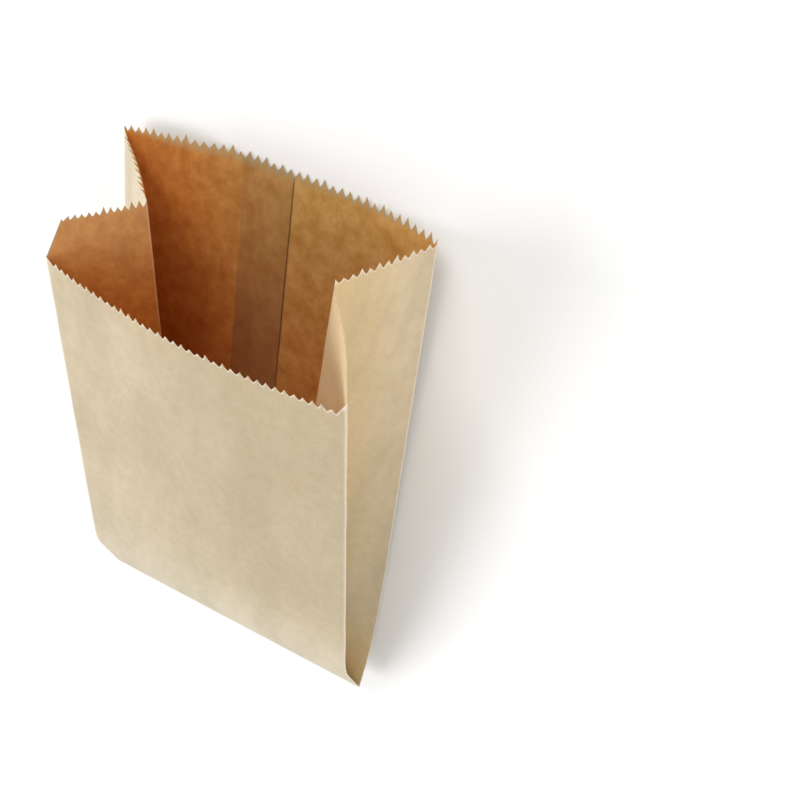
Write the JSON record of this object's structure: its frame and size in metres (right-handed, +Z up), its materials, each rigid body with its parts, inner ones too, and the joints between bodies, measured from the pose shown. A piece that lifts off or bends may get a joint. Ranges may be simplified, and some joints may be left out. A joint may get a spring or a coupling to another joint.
{
  "type": "paper lunch bag",
  "caption": "Side-gusseted kraft paper lunch bag, opened and lying on its back panel: saw-tooth mouth, cut lower in front, lap seam down the back, and folded, glued bottom.",
  "frame": {"origin": "middle of the bag's box, on the surface it lies on", "axes": "+X across the bag to the right seen from its bottom, +Y from the folded bottom to the mouth, +Z up from the back panel to the front panel"},
  "size_m": [0.138, 0.2118, 0.0701],
  "materials": {
    "kraft_paper": "uncoated natural kraft paper, matt"
  },
  "bodies": {
    "root": {"paper_bag": "kraft_paper"}
  },
  "joints": []
}
